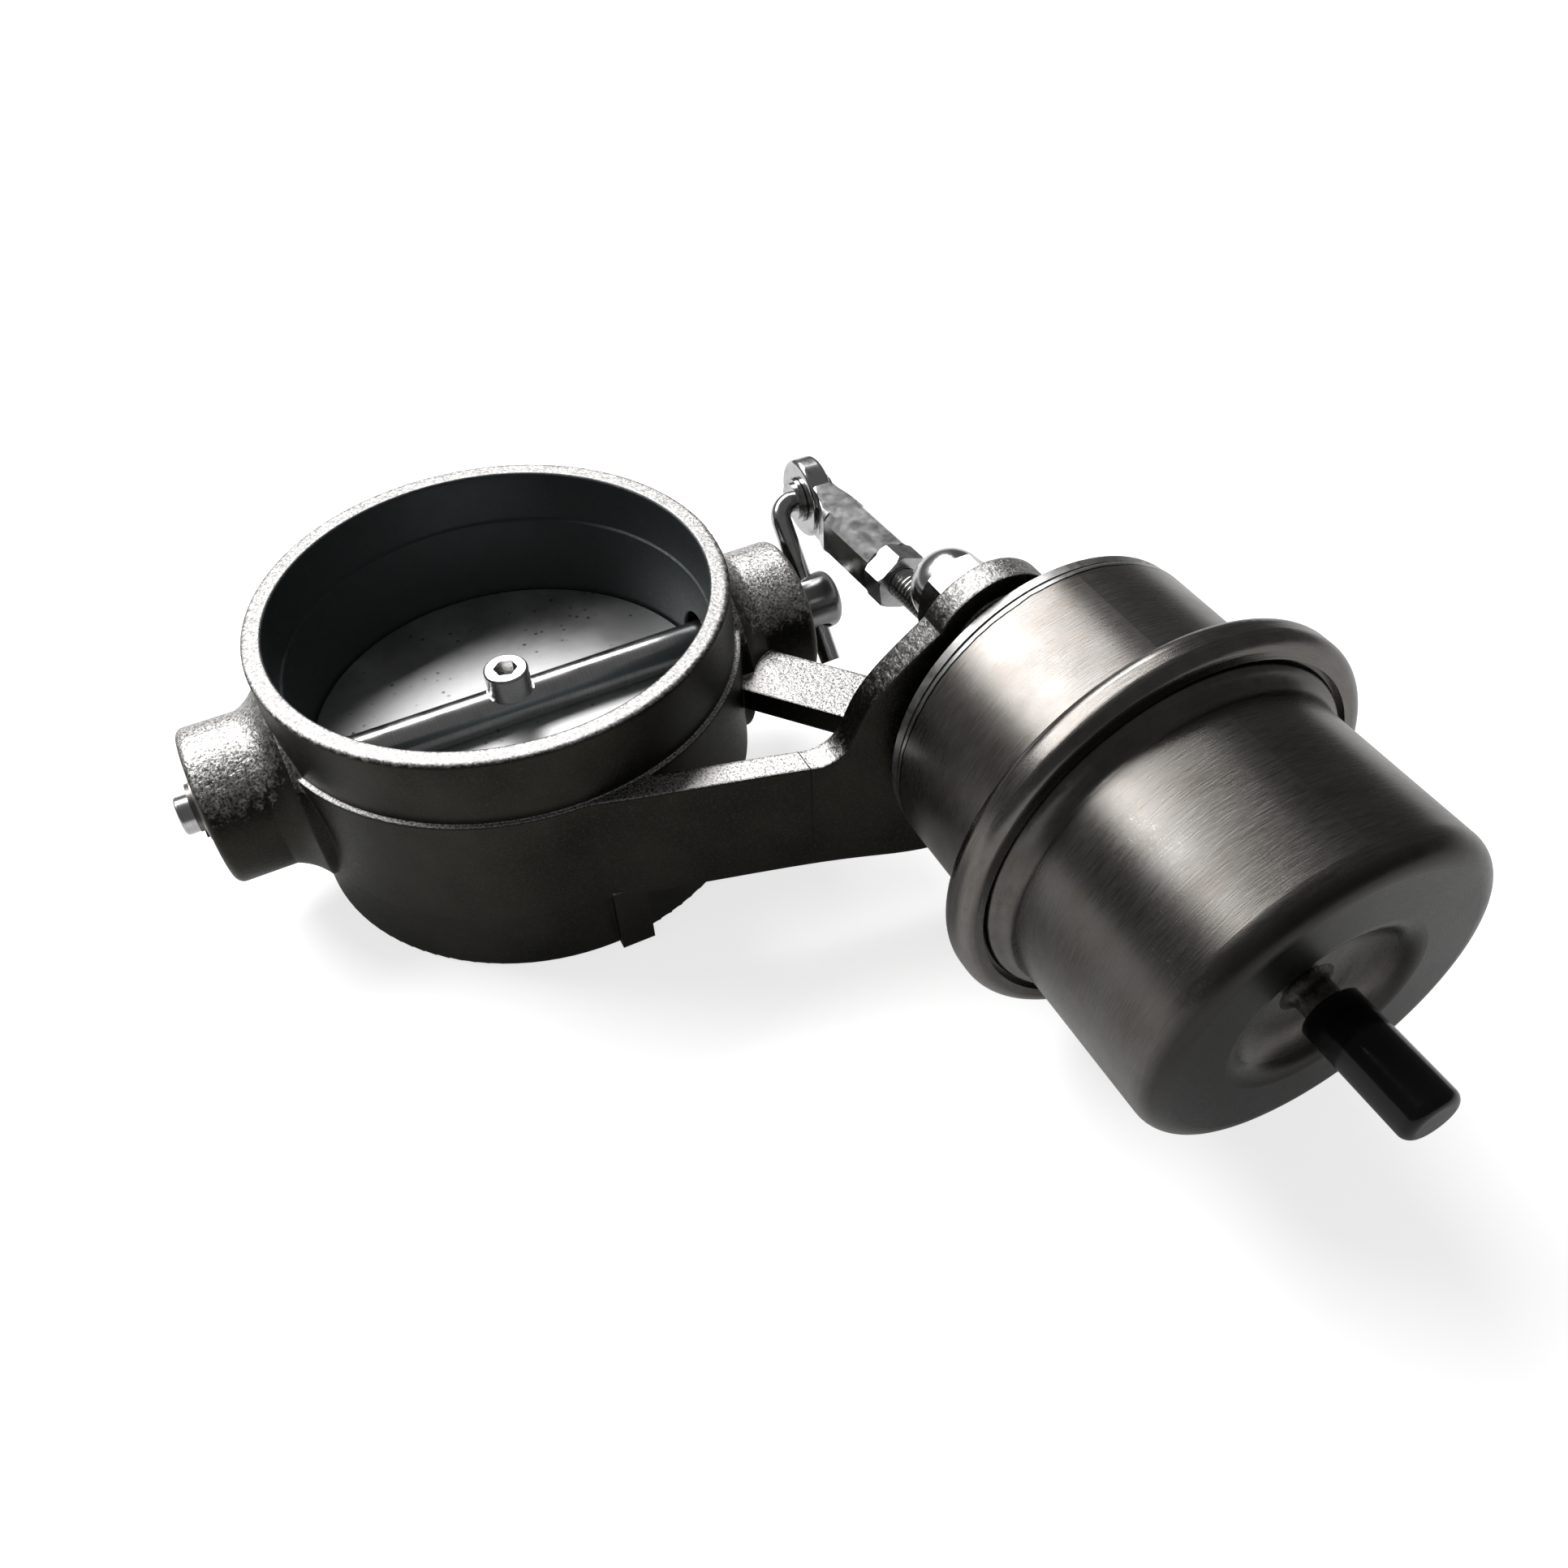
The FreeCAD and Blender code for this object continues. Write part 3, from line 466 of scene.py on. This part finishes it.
# Studio: a white floor that keeps the object's shadow, a dim even room, and one wide soft
# window behind the housing, which gives the metal its bright side. The floor glows white to
# the camera, and less in reflections.
FLOOR_SIZE, FLOOR_GAP = 6.0, 0.0002
FLOOR_COLOUR, FIBRE = 0.80, 0.004
FLOOR_GLOW, MIRRORED_GLOW, ROOM_LIGHT = 0.74, 0.15, 0.13
WINDOW_PLACE, WINDOW_AIM = Vector((-0.86, -0.22, 1.07)), Vector((0.03, 0.03, 0.02))
WINDOW_WIDTH, WINDOW_HEIGHT, WINDOW_WATTS = 1.65, 0.52, 27

paper, at = new_finish("white_paper")
seen = at.node("ShaderNodeLightPath", {}, {}, "Is Camera Ray")
glossy = at.node("ShaderNodeLightPath", {}, {}, "Is Glossy Ray")
through = at.node("ShaderNodeLightPath", {}, {}, "Is Transmission Ray")
mirrored = at.maths("MAXIMUM", glossy, through)
fibre = at.noise(300, 2).blend(tone(FLOOR_COLOUR - FIBRE), tone(FLOOR_COLOUR + FIBRE))
set_surface(paper, {"Base Color": fibre, "Roughness": 0.9, "Specular IOR Level": 0.0})
strength = seen * FLOOR_GLOW + mirrored * MIRRORED_GLOW
glow = at.node("ShaderNodeEmission", {}, {"Color": (1, 1, 1, 1), "Strength": strength})
matt = Socket(paper.node_tree, paper.node_tree.nodes["Principled BSDF"].outputs[0])
lit = at.node("ShaderNodeAddShader", {}, {0: matt, 1: glow})
paper.node_tree.links.new(lit.plug, paper.node_tree.nodes["Material Output"].inputs[0])

bm = bmesh.new()
bmesh.ops.create_grid(bm, x_segments=1, y_segments=1, size=FLOOR_SIZE)
bmesh.ops.translate(bm, vec=(0, 0, cad_box[0][2] - FLOOR_GAP), verts=bm.verts)
mesh = bpy.data.meshes.new("floor")
bm.to_mesh(mesh)
bm.free()
mesh.materials.append(paper)
floor = bpy.data.objects.new("floor", mesh)
bpy.context.scene.collection.objects.link(floor)

room = bpy.data.worlds.new("room")
room.use_nodes = True
room.node_tree.nodes["Background"].inputs["Color"].default_value = (1, 1, 1, 1)
room.node_tree.nodes["Background"].inputs["Strength"].default_value = ROOM_LIGHT
bpy.context.scene.world = room
bpy.context.scene.view_settings.view_transform = "Standard"

lamp = bpy.data.lights.new("window", "AREA")
lamp.shape = "RECTANGLE"
lamp.size, lamp.size_y, lamp.energy = WINDOW_WIDTH, WINDOW_HEIGHT, WINDOW_WATTS
window = bpy.data.objects.new("window", lamp)
window.location = WINDOW_PLACE
window.rotation_euler = (WINDOW_AIM - WINDOW_PLACE).to_track_quat("-Z", "Y").to_euler()
bpy.context.scene.collection.objects.link(window)

# Camera: the photograph's view, worked out from the rims, the band, the bosses and the cans.
FRAME_PX, FOCAL_PX, CENTRE_PX = 1932, 1617.1, (959.5, 1116.1)
YAW, PITCH, ROLL = math.radians(-23.69), math.radians(49.92), math.radians(-3.38)
EYE = Vector((0.19201, -0.0328, 0.18704))
SENSOR_MM = 36

look = -Vector((
    math.cos(PITCH) * math.cos(YAW), math.cos(PITCH) * math.sin(YAW), math.sin(PITCH),
))
level_right = look.cross(Vector((0, 0, 1))).normalized()
level_up = level_right.cross(look)
right = level_right * math.cos(ROLL) + level_up * math.sin(ROLL)
up = level_up * math.cos(ROLL) - level_right * math.sin(ROLL)
lens = bpy.data.cameras.new("camera")
lens.sensor_width = SENSOR_MM
lens.lens = SENSOR_MM * FOCAL_PX / FRAME_PX
lens.shift_x = (FRAME_PX / 2 - CENTRE_PX[0]) / FRAME_PX
lens.shift_y = (CENTRE_PX[1] - FRAME_PX / 2) / FRAME_PX
lens.clip_start, lens.clip_end = 0.005, 20
camera = bpy.data.objects.new("camera", lens)
camera.matrix_world = Matrix((right, up, -look)).transposed().to_4x4()
camera.location = EYE
bpy.context.scene.collection.objects.link(camera)
bpy.context.scene.camera = camera
